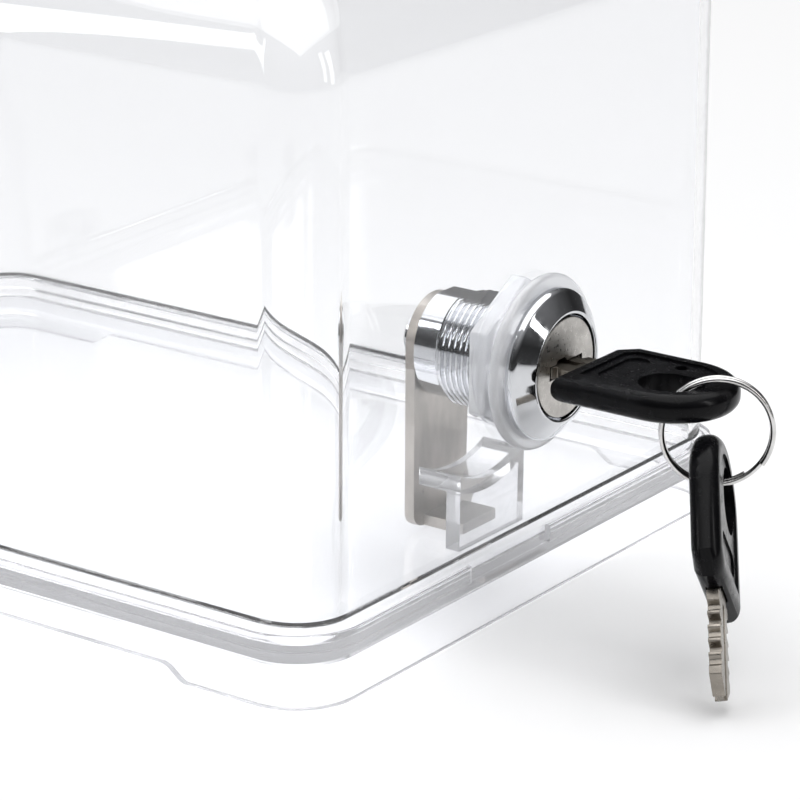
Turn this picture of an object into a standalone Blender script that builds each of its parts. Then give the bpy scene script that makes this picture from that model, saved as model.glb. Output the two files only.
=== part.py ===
"""Small clear counter-top donation box with a cam lock, two keys and a split ring.

Metres, +Z up. +X is the outward normal of the lock side, -Y that of the long front.
The origin is the bottom centre of the whole object, keys included.
"""
import math

import bmesh
import bpy
from mathutils import Matrix, Vector

MM = 0.001
GAP = 0.3 * MM                      # clearance between pieces that touch

# Box
BODY_X = -20.36 * MM                # centre of the box; the keys stand out at +X
HALF_LENGTH = 76.5 * MM             # cover, at its lower rim
HALF_WIDTH = 56.0 * MM
HEIGHT = 102.0 * MM
WALL = 2.5 * MM
DRAFT = math.tan(math.radians(0.5))
PLAN_RADIUS = 9.0 * MM
TOP_RADIUS = 15.0 * MM
SEAT_Z = 11.8 * MM                  # top of the base's ledge, where the cover sits
SKIRT_OUT = 1.0 * MM                # skirt beyond the cover's wall
LIP_OUT = 2.0 * MM                  # lip beyond the cover's wall
LIP_HEIGHT = 2.7 * MM
FLOOR_TOP = 8.6 * MM
FLOOR_THICK = 2.0 * MM
CUTOUT_HEIGHT = 2.4 * MM            # long sides' skirt stands clear between the corner feet
FOOT_LENGTH = 27.0 * MM

# Top
SLOT_LENGTH = 70.0 * MM
SLOT_WIDTH = 5.0 * MM
FRAME_HALF_LENGTH = 62.0 * MM
FRAME_HALF_WIDTH = 35.0 * MM
FRAME_HEIGHT = 2.2 * MM
FRAME_WIDTH = 2.2 * MM

# Hinge at the end away from the lock
HINGE_OUT = 3.2 * MM
HINGE_UP = 3.2 * MM
HINGE_Y = 34.0 * MM
EAR_RADIUS = 2.6 * MM
EAR_THICK = 3.0 * MM
STUB_RADIUS = 1.4 * MM

# Lock, along X; distances are from the cover's outer face at the lock's height
LOCK_Z = 38.0 * MM
LOCK_X = BODY_X + HALF_LENGTH - DRAFT * (LOCK_Z - SEAT_Z)
BARREL_RADIUS = 9.0 * MM
FLAT_HALF = 8.0 * MM
THREAD_PITCH = 1.0 * MM
THREAD_DEPTH = 0.5 * MM
BORE_RADIUS = 6.3 * MM
PLUG_RADIUS = 6.0 * MM
BARREL_END = -17.5 * MM
CAM_BACK = -19.7 * MM
CAM_FRONT = -18.0 * MM
CAM_HALF_WIDTH = 7.0 * MM
CAM_TOP_RADIUS = 7.4 * MM
CAM_REACH = 28.5 * MM
CAM_SQUARE = 6.6 * MM

# Catch under the lock
CATCH_FACE = -8.5 * MM
CATCH_WALL = 2.5 * MM
CATCH_HALF_WIDTH = 8.6 * MM
CATCH_END = -16.0 * MM
CATCH_INNER_RADIUS = 19.4 * MM
CATCH_OUTER_RADIUS = 22.0 * MM

# Keys and ring
KEY_X = LOCK_X + 8.6 * MM           # shoulder of the key in the lock
HEAD_HALF_WIDTH = 10.0 * MM
HEAD_LENGTH = 25.0 * MM
HEAD_THICK = 4.4 * MM
HOLE_RADIUS = 4.3 * MM
HOLE_FROM = 15.4 * MM
HOLE_TO = 16.8 * MM
HOLE_Y = -2.0 * MM
BLADE_LENGTH = 15.0 * MM
BLADE_HALF_WIDTH = 3.8 * MM
BLADE_THICK = 1.8 * MM
RING_RADIUS = 8.0 * MM
WIRE_RADIUS = 0.42 * MM
RING_PITCH = 0.95 * MM
WIRE_TO_WEB = 2.0 * MM              # ring's middle to the edge of the spare key's hole
RING_TURNED = math.radians(35.0)    # the ring's plane, from +X towards +Y
RING_CENTRE = Vector((LOCK_X + 31.4 * MM, 0.0, LOCK_Z - 4.6 * MM))
SPARE_LEAN = math.radians(45.5)     # spare key from the vertical, its tip on the table
SPARE_ROLL = math.radians(76.0)     # spare key's plate about its own length

CORNER_STEPS = 8
ROUND_STEPS = 40


def clear_scene():
    for obj in list(bpy.data.objects):
        bpy.data.objects.remove(obj, do_unlink=True)


def new_collection(name):
    collection = bpy.data.collections.new(name)
    bpy.context.scene.collection.children.link(collection)
    return collection


def new_material(name, color, roughness, metallic=0.0, alpha=1.0):
    material = bpy.data.materials.new(name)
    material.use_nodes = True
    shader = material.node_tree.nodes["Principled BSDF"]
    shader.inputs["Base Color"].default_value = (*color, 1.0)
    shader.inputs["Roughness"].default_value = roughness
    shader.inputs["Metallic"].default_value = metallic
    shader.inputs["Alpha"].default_value = alpha
    return material


clear_scene()
PARTS = new_collection("donation_box")
CUTTERS = new_collection("donation_box_cutters")
CLEAR = new_material("clear_plastic", (0.95, 0.96, 0.97), 0.05, alpha=0.3)
CHROME = new_material("chrome", (0.80, 0.81, 0.83), 0.10, 1.0)
SATIN = new_material("satin_nickel", (0.66, 0.64, 0.61), 0.32, 1.0)
BRASS = new_material("wafer_brass", (0.75, 0.60, 0.32), 0.35, 1.0)
BLACK = new_material("black_plastic", (0.018, 0.018, 0.020), 0.30)


def add_mesh(name, shape, material=None):
    """An object from a bmesh; with no material it is a cutter or a shape to be joined."""
    mesh = bpy.data.meshes.new(name)
    shape.to_mesh(mesh)
    shape.free()
    return add_object(name, mesh, material)


def add_object(name, data, material=None):
    obj = bpy.data.objects.new(name, data)
    if material is None:
        CUTTERS.objects.link(obj)
        obj.hide_render = True
        obj.display_type = "WIRE"
    else:
        PARTS.objects.link(obj)
        data.materials.append(material)
    return obj


def box(name, low, high, material=None):
    low, high = Vector(low), Vector(high)
    shape = bmesh.new()
    size = high - low
    place = Matrix.Translation((low + high) / 2) @ Matrix.Diagonal((*size, 1.0))
    bmesh.ops.create_cube(shape, size=1.0, matrix=place)
    return add_mesh(name, shape, material)


def cylinder(name, radius, start, end, material=None, steps=ROUND_STEPS):
    """A round bar from start to end."""
    start, end = Vector(start), Vector(end)
    shape = bmesh.new()
    turn = (end - start).to_track_quat("Z", "Y").to_matrix().to_4x4()
    place = Matrix.Translation((start + end) / 2) @ turn
    bmesh.ops.create_cone(shape, cap_ends=True, segments=steps, radius1=radius, radius2=radius,
                          depth=(end - start).length, matrix=place)
    return add_mesh(name, shape, material)


def boolean(target, tool, operation):
    modifier = target.modifiers.new(f"{operation.lower()}_{tool.name}", "BOOLEAN")
    modifier.operation = operation
    modifier.solver = "EXACT"
    modifier.object = tool


def cut(target, *tools):
    for tool in tools:
        boolean(target, tool, "DIFFERENCE")


def join(target, *tools):
    for tool in tools:
        boolean(target, tool, "UNION")


def arc(centre, radius, start_deg, end_deg, steps):
    """Points on a circle, in the plane's own two coordinates."""
    points = []
    for i in range(steps + 1):
        angle = math.radians(start_deg + (end_deg - start_deg) * i / steps)
        points.append((centre[0] + radius * math.cos(angle), centre[1] + radius * math.sin(angle)))
    return points


def rounded_rectangle(half_x, half_y, radius):
    points = []
    for sign_x, sign_y, start in ((1, 1, 0), (-1, 1, 90), (-1, -1, 180), (1, -1, 270)):
        centre = (sign_x * (half_x - radius), sign_y * (half_y - radius))
        points += arc(centre, radius, start, start + 90, CORNER_STEPS)
    return points


def loft(name, sections, material=None):
    """A solid through rounded rectangles (half_x, half_y, radius, z), capped at both ends.

    The sections run up the outside and back down the inside, or the other way for a tray.
    """
    shape = bmesh.new()
    rings = []
    for half_x, half_y, radius, z in sections:
        outline = rounded_rectangle(half_x, half_y, radius)
        rings.append([shape.verts.new((BODY_X + x, y, z)) for x, y in outline])
    for lower, upper in zip(rings, rings[1:]):
        for i in range(len(lower)):
            j = (i + 1) % len(lower)
            shape.faces.new((lower[i], lower[j], upper[j], upper[i]))
    shape.faces.new(list(reversed(rings[0])))
    shape.faces.new(rings[-1])
    bmesh.ops.recalc_face_normals(shape, faces=shape.faces)
    return add_mesh(name, shape, material)


def turned(name, profile, material=None, closed=False):
    """A shape turned about the lock's axis; profile points are (radius, distance along +X)."""
    mesh = bpy.data.meshes.new(name)
    verts = [(radius, 0.0, along) for radius, along in profile]
    edges = [(i, i + 1) for i in range(len(verts) - 1)]
    if closed:
        edges.append((len(verts) - 1, 0))
    mesh.from_pydata(verts, edges, [])
    obj = add_object(name, mesh, material)
    obj.location = (LOCK_X, 0.0, LOCK_Z)
    obj.rotation_euler = (0.0, math.radians(90.0), 0.0)
    screw = obj.modifiers.new("turn", "SCREW")
    screw.axis = "Z"
    screw.steps = ROUND_STEPS
    screw.render_steps = ROUND_STEPS
    screw.use_merge_vertices = True
    screw.merge_threshold = 0.00001
    weld = obj.modifiers.new("close_poles", "WELD")
    weld.merge_threshold = 0.00001
    return obj


def lock_plane_at(along):
    """Puts a plate's x, y and thickness along the object's Y, Z and X at the lock."""
    return Matrix(((0, 0, 1, LOCK_X + along), (1, 0, 0, 0), (0, 1, 0, LOCK_Z), (0, 0, 0, 1)))


def plate(name, outlines, thickness, place, material=None):
    """A flat piece: the first outline is its edge and the others are its holes."""
    curve = bpy.data.curves.new(name, "CURVE")
    curve.dimensions = "2D"
    curve.fill_mode = "BOTH"
    curve.extrude = thickness / 2
    for outline in outlines:
        spline = curve.splines.new("POLY")
        spline.points.add(len(outline) - 1)
        for point, (x, y) in zip(spline.points, outline):
            point.co = (x, y, 0.0, 1.0)
        spline.use_cyclic_u = True
    obj = add_object(name + "_outline", curve)
    obj.matrix_world = place
    return curve_to_mesh(obj, name, material)


def curve_to_mesh(obj, name, material):
    """The curve's evaluated shape as a welded mesh object in the same place."""
    bpy.context.view_layer.update()
    mesh = bpy.data.meshes.new_from_object(obj.evaluated_get(bpy.context.evaluated_depsgraph_get()))
    mesh.name = name
    shape = bmesh.new()
    shape.from_mesh(mesh)
    bmesh.ops.remove_doubles(shape, verts=shape.verts, dist=0.000001)
    bmesh.ops.recalc_face_normals(shape, faces=shape.faces)
    shape.to_mesh(mesh)
    shape.free()
    mesh.materials.clear()
    solid = add_object(name, mesh, material)
    solid.matrix_world = obj.matrix_world.copy()
    bpy.data.objects.remove(obj, do_unlink=True)
    return solid


def bevel(obj, width, segments=2):
    modifier = obj.modifiers.new("rounded_edges", "BEVEL")
    modifier.width = width
    modifier.segments = segments
    modifier.limit_method = "ANGLE"
    modifier.angle_limit = math.radians(40.0)
    modifier.use_clamp_overlap = True


def shade_round(obj):
    if obj.type == "MESH":
        obj.data.shade_smooth()
        obj.data.set_sharp_from_angle(angle=math.radians(35.0))


def cover_sections(inset, base_z, top_z):
    """The cover's outside (inset 0) or inside, from its rim to its flat top."""
    radius = TOP_RADIUS - inset
    sections = []
    shoulder_z = HEIGHT - TOP_RADIUS
    for z in (base_z, shoulder_z):
        lean = DRAFT * (z - SEAT_Z)
        sections.append((z, inset + lean))
    lean = DRAFT * (shoulder_z - SEAT_Z)
    steps = CORNER_STEPS
    for i in range(1, steps + 1):
        angle = math.pi / 2 * i / steps
        sections.append((shoulder_z + radius * math.sin(angle),
                         inset + lean + radius * (1.0 - math.cos(angle))))
    sections[-1] = (top_z, sections[-1][1])
    return [(HALF_LENGTH - s, HALF_WIDTH - s, PLAN_RADIUS - inset, z) for z, s in sections]


def make_cover():
    rim_z = SEAT_Z + GAP
    outside = cover_sections(0.0, rim_z, HEIGHT)
    inside = cover_sections(WALL, rim_z, HEIGHT - WALL)
    cover = loft("cover_shell", list(reversed(outside)) + inside, CLEAR)
    slot_z = HEIGHT - 2 * WALL
    half_length, half_width = SLOT_LENGTH / 2, SLOT_WIDTH / 2
    cut(cover, box("money_slot", (BODY_X - half_length, -half_width, slot_z),
                   (BODY_X + half_length, half_width, HEIGHT + 2 * WALL)))
    cut(cover, make_barrel_hole())
    join(cover, make_top_frame())
    for side in (1, -1):
        join(cover, make_hinge_knuckle(side))
    return cover


def make_barrel_hole():
    """A round hole with two flats, which keeps the lock's barrel from turning."""
    clear = BARREL_RADIUS + GAP
    hole = cylinder("barrel_hole", clear, (LOCK_X - 8 * MM, 0, LOCK_Z), (LOCK_X + 8 * MM, 0, LOCK_Z))
    for sign in (1, -1):
        near, far = sign * (FLAT_HALF + GAP), sign * 2 * clear
        low_z, high_z = sorted((near, far))
        cut(hole, box(f"barrel_hole_flat_{sign}", (LOCK_X - 9 * MM, -2 * clear, LOCK_Z + low_z),
                      (LOCK_X + 9 * MM, 2 * clear, LOCK_Z + high_z)))
    return hole


def make_top_frame():
    """The raised rim round the middle of the top."""
    sunk = 1.0 * MM
    outer = loft("top_frame", [
        (FRAME_HALF_LENGTH, FRAME_HALF_WIDTH, 2.0 * MM, HEIGHT - sunk),
        (FRAME_HALF_LENGTH, FRAME_HALF_WIDTH, 2.0 * MM, HEIGHT + FRAME_HEIGHT)])
    inner = loft("top_frame_inside", [
        (FRAME_HALF_LENGTH - FRAME_WIDTH, FRAME_HALF_WIDTH - FRAME_WIDTH, 0.8 * MM, HEIGHT - 2 * sunk),
        (FRAME_HALF_LENGTH - FRAME_WIDTH, FRAME_HALF_WIDTH - FRAME_WIDTH, 0.8 * MM, HEIGHT + 9 * sunk)])
    cut(outer, inner)
    return outer


def hinge_axis():
    return BODY_X - HALF_LENGTH - HINGE_OUT, SEAT_Z + HINGE_UP


def make_hinge_knuckle(side):
    """A lug on the cover's far wall with a round stub that turns in the base's ear."""
    axis_x, axis_z = hinge_axis()
    wall_x = BODY_X - HALF_LENGTH + WALL / 2
    inner = HINGE_Y - EAR_THICK - GAP
    low_y, high_y = sorted((side * (inner - EAR_THICK), side * inner))
    knuckle = cylinder(f"knuckle_{side}", EAR_RADIUS, (axis_x, low_y, axis_z), (axis_x, high_y, axis_z),
                       steps=24)
    join(knuckle, box(f"knuckle_web_{side}", (axis_x, low_y, axis_z - 2.0 * MM),
                      (wall_x, high_y, axis_z + 2.0 * MM)))
    join(knuckle, cylinder(f"stub_{side}", STUB_RADIUS, (axis_x, side * (inner - 1 * MM), axis_z),
                           (axis_x, side * (HINGE_Y + 0.6 * MM), axis_z), steps=20))
    return knuckle


def make_base():
    lip_x, lip_y = HALF_LENGTH + LIP_OUT, HALF_WIDTH + LIP_OUT
    skirt_x, skirt_y = HALF_LENGTH + SKIRT_OUT, HALF_WIDTH + SKIRT_OUT
    radius = PLAN_RADIUS + LIP_OUT
    wall = 2.0 * MM
    inner_x, inner_y = HALF_LENGTH - WALL - 0.6 * MM, HALF_WIDTH - WALL - 0.6 * MM
    under = FLOOR_TOP - FLOOR_THICK
    pocket = WALL + wall + 0.6 * MM
    sections = [
        (inner_x + wall, inner_y + wall, radius - pocket, under),
        (skirt_x - wall, skirt_y - wall, radius - wall, under),
        (skirt_x - wall, skirt_y - wall, radius - wall, 0.0),
        (skirt_x, skirt_y, radius - SKIRT_OUT, 0.0),
        (skirt_x, skirt_y, radius - SKIRT_OUT, SEAT_Z - LIP_HEIGHT - 0.4 * MM),
        (lip_x, lip_y, radius, SEAT_Z - LIP_HEIGHT),
        (lip_x, lip_y, radius, SEAT_Z - 0.4 * MM),
        (lip_x - 0.4 * MM, lip_y - 0.4 * MM, radius - 0.4 * MM, SEAT_Z),
        (inner_x, inner_y, radius - pocket, SEAT_Z),
        (inner_x, inner_y, radius - pocket, FLOOR_TOP)]
    base = loft("base_tray", sections, CLEAR)
    join(base, make_catch())
    for side in (1, -1):
        join(base, make_hinge_ear(side))
        cut(base, make_skirt_cutout(side))
    cut(base, box("rim_notch", (BODY_X + skirt_x + 0.05 * MM, -19.0 * MM, SEAT_Z - LIP_HEIGHT - 1 * MM),
                  (BODY_X + lip_x + 1 * MM, 2.0 * MM, SEAT_Z + 1 * MM)))
    return base


def make_catch():
    """A wall across the lock side with a flange curved about the lock's axis."""
    steps = 10
    half = math.degrees(math.asin(CATCH_HALF_WIDTH / CATCH_INNER_RADIUS))
    low = math.degrees(math.asin(CATCH_HALF_WIDTH / CATCH_OUTER_RADIUS))
    upper = arc((0, 0), CATCH_INNER_RADIUS, -90 - half, -90 + half, steps)
    lower = arc((0, 0), CATCH_OUTER_RADIUS, -90 + low, -90 - low, steps)
    middle = CATCH_FACE - CATCH_WALL / 2
    floor = FLOOR_TOP - 0.5 * MM - LOCK_Z
    wall = [(-CATCH_HALF_WIDTH, floor), (CATCH_HALF_WIDTH, floor)] + list(reversed(upper))
    catch = plate("catch_wall", [wall], CATCH_WALL, lock_plane_at(middle))
    flange = plate("catch_flange", [upper + lower], middle - CATCH_END, lock_plane_at((middle + CATCH_END) / 2))
    join(catch, flange)
    return catch


def make_hinge_ear(side):
    """An upright ear on the base with the hole that the cover's stub turns in."""
    axis_x, axis_z = hinge_axis()
    low_y, high_y = sorted((side * (HINGE_Y - EAR_THICK), side * HINGE_Y))
    ear = cylinder(f"ear_{side}", EAR_RADIUS, (axis_x, low_y, axis_z), (axis_x, high_y, axis_z), steps=24)
    join(ear, box(f"ear_post_{side}", (axis_x - EAR_RADIUS, low_y, SEAT_Z - LIP_HEIGHT),
                  (BODY_X - HALF_LENGTH - 0.9 * MM, high_y, axis_z - 0.9 * MM)))
    cut(ear, cylinder(f"ear_hole_{side}", STUB_RADIUS + GAP, (axis_x, low_y - MM, axis_z),
                      (axis_x, high_y + MM, axis_z), steps=20))
    return ear


def make_skirt_cutout(side):
    """The low arch between the corner feet of a long side, with curved ends."""
    half = HALF_LENGTH + SKIRT_OUT - FOOT_LENGTH
    rise = CUTOUT_HEIGHT
    ease = 5.0 * MM
    steps = 8
    right = []
    for i in range(steps + 1):
        t = i / steps
        right.append((half + ease * (1 - t), rise * (0.5 - 0.5 * math.cos(math.pi * t))))
    left = [(-x, z) for x, z in reversed(right)]
    outline = [(half + ease, -rise)] + right + left + [(-half - ease, -rise)]
    upright = Matrix(((1, 0, 0, BODY_X), (0, 0, -1, side * (HALF_WIDTH - WALL)), (0, 1, 0, 0), (0, 0, 0, 1)))
    return plate(f"skirt_cutout_{side}", [outline], 16 * MM, upright)


def make_lock_housing():
    """Bezel, threaded barrel with two flats, and the bore that the plug turns in."""
    thread = []
    start, end = -2.9 * MM, -14.0 * MM
    turns = int((start - end) / THREAD_PITCH)
    for i in range(turns):
        top = start - i * THREAD_PITCH
        thread += [(BARREL_RADIUS - THREAD_DEPTH, top), (BARREL_RADIUS, top - 0.35 * THREAD_PITCH),
                   (BARREL_RADIUS, top - 0.65 * THREAD_PITCH)]
    thread.append((BARREL_RADIUS - THREAD_DEPTH, start - turns * THREAD_PITCH))
    profile = [(8.0 * MM, 5.7 * MM), (8.5 * MM, 5.7 * MM), (11.2 * MM, 3.7 * MM), (11.5 * MM, 3.3 * MM),
               (11.5 * MM, 2.2 * MM), (BARREL_RADIUS, 2.2 * MM), (BARREL_RADIUS, -2.8 * MM)]
    profile += thread
    profile += [(BARREL_RADIUS - THREAD_DEPTH, BARREL_END), (BORE_RADIUS, BARREL_END),
                (BORE_RADIUS, 4.1 * MM), (8.0 * MM, 4.1 * MM)]
    housing = turned("lock_housing", profile, CHROME, closed=True)
    for sign in (1, -1):
        low_z, high_z = sorted((sign * FLAT_HALF, sign * 14 * MM))
        cut(housing, box(f"barrel_flat_{sign}", (LOCK_X - 25 * MM, -14 * MM, LOCK_Z + low_z),
                         (LOCK_X + 2.15 * MM, 14 * MM, LOCK_Z + high_z)))
    return housing


def make_plug():
    """The plug: face, keyway, wafer slots, and the square that carries the cam."""
    back = -17.2 * MM
    profile = [(0.0, 5.5 * MM), (7.65 * MM, 5.5 * MM), (7.65 * MM, 4.4 * MM), (PLUG_RADIUS, 4.4 * MM),
               (PLUG_RADIUS, back), (0.0, back)]
    plug = turned("lock_plug", profile, SATIN)
    half = CAM_SQUARE / 2 - GAP
    join(plug, box("cam_square", (LOCK_X - 19.6 * MM, -half, LOCK_Z - half),
                   (LOCK_X + back + MM, half, LOCK_Z + half)))
    cut(plug, box("keyway", (LOCK_X - 9.0 * MM, -4.4 * MM, LOCK_Z - 1.25 * MM),
                  (LOCK_X + 9.0 * MM, 4.4 * MM, LOCK_Z + 1.25 * MM)))
    for i, along in enumerate(wafer_places()):
        cut(plug, box(f"wafer_slot_{i + 1}", (LOCK_X + along - 0.7 * MM, -5.4 * MM, LOCK_Z - 3.0 * MM),
                      (LOCK_X + along + 0.7 * MM, 5.4 * MM, LOCK_Z + 3.0 * MM)))
    cut(plug, cylinder("screw_hole", 1.95 * MM, (LOCK_X - 30 * MM, 0, LOCK_Z), (LOCK_X - 13 * MM, 0, LOCK_Z)))
    return plug


def wafer_places():
    return [(2.0 - 2.0 * i) * MM for i in range(5)]


def rectangle(half_x, half_y):
    return [(half_x, half_y), (-half_x, half_y), (-half_x, -half_y), (half_x, -half_y)]


def make_wafers():
    return [plate(f"wafer_{i + 1}", [rectangle(5.1 * MM, 2.7 * MM), rectangle(4.2 * MM, 1.3 * MM)],
                  0.8 * MM, lock_plane_at(along), BRASS)
            for i, along in enumerate(wafer_places())]


def make_lock_washer():
    hole = arc((0, 0), BARREL_RADIUS + GAP, 0, 360 - 9, 39)
    edge = arc((0, 0), 13.4 * MM, 0, 360 - 9, 39)
    washer = plate("clear_washer", [edge, hole], 1.6 * MM, lock_plane_at(1.1 * MM), CLEAR)
    bevel(washer, 0.3 * MM)
    return washer


def make_nut():
    """Clear plastic hexagon nut on the barrel, inside the cover's wall."""
    hexagon = arc((0, 0), 12.6 * MM, 30, 330, 5)
    hole = arc((0, 0), BARREL_RADIUS + GAP, 0, 360 - 9, 39)
    nut = plate("lock_nut", [hexagon, hole], 3.0 * MM, lock_plane_at(-WALL - 0.5 * MM - 1.5 * MM), CLEAR)
    bevel(nut, 0.4 * MM)
    return nut


def make_cam():
    """The cam's plate; it hangs beside the catch's flange and clears it by a few millimetres."""
    foot = 2.6 * MM
    outline = arc((0, 0), CAM_TOP_RADIUS, 10, 170, 16)
    outline += arc((-CAM_HALF_WIDTH + foot, -CAM_REACH + foot), foot, 180, 270, 6)
    outline += arc((CAM_HALF_WIDTH - foot, -CAM_REACH + foot), foot, 270, 360, 6)
    half = CAM_SQUARE / 2
    cam = plate("cam", [outline, rectangle(half, half)], CAM_FRONT - CAM_BACK,
                lock_plane_at((CAM_FRONT + CAM_BACK) / 2), SATIN)
    bevel(cam, 0.2 * MM, 1)
    return cam


def make_cam_fixing():
    """The washer and the screw that hold the cam on the plug."""
    washer = plate("cam_washer", [arc((0, 0), 5.2 * MM, 0, 360 - 15, 23), arc((0, 0), 2.0 * MM, 0, 345, 23)],
                   0.6 * MM, lock_plane_at(-20.3 * MM), SATIN)
    profile = [(0.0, -14.0 * MM), (1.6 * MM, -14.0 * MM), (1.6 * MM, -20.9 * MM), (3.9 * MM, -20.9 * MM),
               (3.9 * MM, -22.3 * MM), (2.8 * MM, -23.2 * MM), (0.0, -23.2 * MM)]
    screw = turned("cam_screw", profile, CHROME)
    for i, (half_y, half_z) in enumerate(((2.4, 0.45), (0.45, 2.4))):
        cut(screw, box(f"cross_recess_{i + 1}", (LOCK_X - 25 * MM, -half_y * MM, LOCK_Z - half_z * MM),
                       (LOCK_X - 22.0 * MM, half_y * MM, LOCK_Z + half_z * MM)))
    return washer, screw


def head_outline():
    """Key head: square shoulder with one corner taken off, round at the ring end."""
    w, length = HEAD_HALF_WIDTH, HEAD_LENGTH
    return [(0.6 * MM, -w), *arc((length - w, 0), w, -90, 90, 20), (3.6 * MM, w), (0.6 * MM, w - 3.0 * MM)]


def hole_outline():
    right = arc((HOLE_TO, HOLE_Y), HOLE_RADIUS, -90, 90, 12)
    left = arc((HOLE_FROM, HOLE_Y), HOLE_RADIUS, 90, 270, 12)
    return right + left


def blade_outline():
    """Tang in the head, shoulder, then a blade with cuts on both edges and a pointed tip."""
    w = BLADE_HALF_WIDTH
    tip = -BLADE_LENGTH
    depths = (0.9, 1.5, 0.7, 1.3, 0.5)
    start, pitch, flat = -2.4 * MM, 2.1 * MM, 0.35 * MM
    edge = []
    for i, depth in enumerate(depths):
        centre = start - i * pitch
        edge += [(centre + 0.8 * MM, w), (centre + flat, w - depth * MM), (centre - flat, w - depth * MM),
                 (centre - 0.8 * MM, w)]
    edge += [(tip + 2.2 * MM, w), (tip, 1.1 * MM)]
    other = [(x, -y) for x, y in reversed(edge)]
    tang = [(0.0, -w), (0.0, -2.6 * MM), (8.0 * MM, -2.6 * MM), (8.0 * MM, 2.6 * MM), (0.0, 2.6 * MM), (0.0, w)]
    return edge + other + tang


def make_key(prefix, place):
    """A key at a place whose +X runs from the blade to the head's ring end."""
    head = plate(f"{prefix}_head", [head_outline(), hole_outline()], HEAD_THICK, place, BLACK)
    bevel(head, 0.9 * MM)
    pocket = plate(f"{prefix}_pocket", [[(-MM, -2.9 * MM), (8.4 * MM, -2.9 * MM), (8.4 * MM, 2.9 * MM),
                                         (-MM, 2.9 * MM)]], BLADE_THICK + 2 * GAP, place)
    cut(head, pocket)
    blade = plate(f"{prefix}_blade", [blade_outline()], BLADE_THICK, place, SATIN)
    return head, blade


def spare_key_place():
    """The spare key hangs on the ring's lowest wire and leans until its tip meets the table."""
    tangent = Vector((math.cos(RING_TURNED), math.sin(RING_TURNED), 0.0))
    outward = Vector((math.sin(RING_TURNED), -math.cos(RING_TURNED), 0.0))
    down = Vector((0.0, 0.0, -1.0))
    along = -(down * math.cos(SPARE_LEAN) + outward * math.sin(SPARE_LEAN))
    normal = Matrix.Rotation(SPARE_ROLL - math.pi / 2, 3, along) @ tangent
    across = normal.cross(along)
    turn = Matrix((along, across, normal)).transposed()
    wire = Vector((HOLE_TO + HOLE_RADIUS - WIRE_TO_WEB, HOLE_Y, 0.0))
    lowest = RING_CENTRE - Vector((0.0, 0.0, RING_RADIUS))
    return Matrix.Translation(lowest - turn @ wire) @ turn.to_4x4()


def make_ring():
    """Split ring: nearly two turns of wire lying side by side."""
    curve = bpy.data.curves.new("split_ring", "CURVE")
    curve.dimensions = "3D"
    curve.bevel_depth = WIRE_RADIUS
    curve.bevel_resolution = 2
    curve.use_fill_caps = True
    turns, steps = 1.94, 72
    spline = curve.splines.new("POLY")
    spline.points.add(steps)
    for i, point in enumerate(spline.points):
        t = i / steps
        angle = math.radians(-35.0) + 2 * math.pi * turns * t
        along, up = RING_RADIUS * math.cos(angle), RING_RADIUS * math.sin(angle)
        point.co = (along, RING_PITCH * (turns * t - turns / 2), up, 1.0)
    ring = add_object("split_ring", curve, SATIN)
    ring.location = RING_CENTRE
    ring.rotation_euler = (0.0, 0.0, RING_TURNED)
    return ring


def build():
    make_base()
    make_cover()
    make_lock_housing()
    make_lock_washer()
    make_nut()
    make_plug()
    make_wafers()
    make_cam()
    make_cam_fixing()
    make_key("key", Matrix.Translation((KEY_X, 0.0, LOCK_Z)))
    make_key("spare_key", spare_key_place())
    make_ring()
    for obj in PARTS.objects:
        shade_round(obj)


build()
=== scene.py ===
"""Looks of the clear donation box: fine shells, lock, keys, ring, materials, light and camera."""
import math

import bmesh
import bpy
from mathutils import Matrix, Vector


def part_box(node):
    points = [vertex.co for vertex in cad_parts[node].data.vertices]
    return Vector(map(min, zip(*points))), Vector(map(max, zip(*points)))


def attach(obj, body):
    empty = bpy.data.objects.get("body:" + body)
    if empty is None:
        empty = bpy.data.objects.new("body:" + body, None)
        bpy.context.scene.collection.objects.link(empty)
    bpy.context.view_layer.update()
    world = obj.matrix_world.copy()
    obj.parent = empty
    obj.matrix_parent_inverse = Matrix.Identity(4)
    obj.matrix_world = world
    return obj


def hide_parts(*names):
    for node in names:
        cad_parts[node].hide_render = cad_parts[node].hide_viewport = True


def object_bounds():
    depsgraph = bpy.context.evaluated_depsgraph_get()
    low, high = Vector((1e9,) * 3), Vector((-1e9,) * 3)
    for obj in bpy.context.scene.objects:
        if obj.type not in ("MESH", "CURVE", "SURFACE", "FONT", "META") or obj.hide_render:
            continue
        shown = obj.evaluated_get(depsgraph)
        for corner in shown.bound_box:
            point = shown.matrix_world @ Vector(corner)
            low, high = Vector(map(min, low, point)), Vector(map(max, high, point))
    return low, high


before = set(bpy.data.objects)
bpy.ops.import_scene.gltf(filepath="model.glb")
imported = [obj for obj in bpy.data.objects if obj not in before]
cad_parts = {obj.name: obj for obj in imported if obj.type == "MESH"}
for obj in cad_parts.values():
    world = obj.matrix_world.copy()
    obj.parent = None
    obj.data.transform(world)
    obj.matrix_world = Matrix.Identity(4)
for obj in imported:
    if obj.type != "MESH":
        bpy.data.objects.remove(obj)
cad_low, cad_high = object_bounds()

MM = 0.001
GAP = 0.3 * MM                      # between pieces that fit together

# Places that the frame gives
COVER_LOW, COVER_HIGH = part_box("cover_shell")
BASE_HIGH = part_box("base_tray")[1]
HOUSING_LOW, HOUSING_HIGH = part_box("lock_housing")

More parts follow.
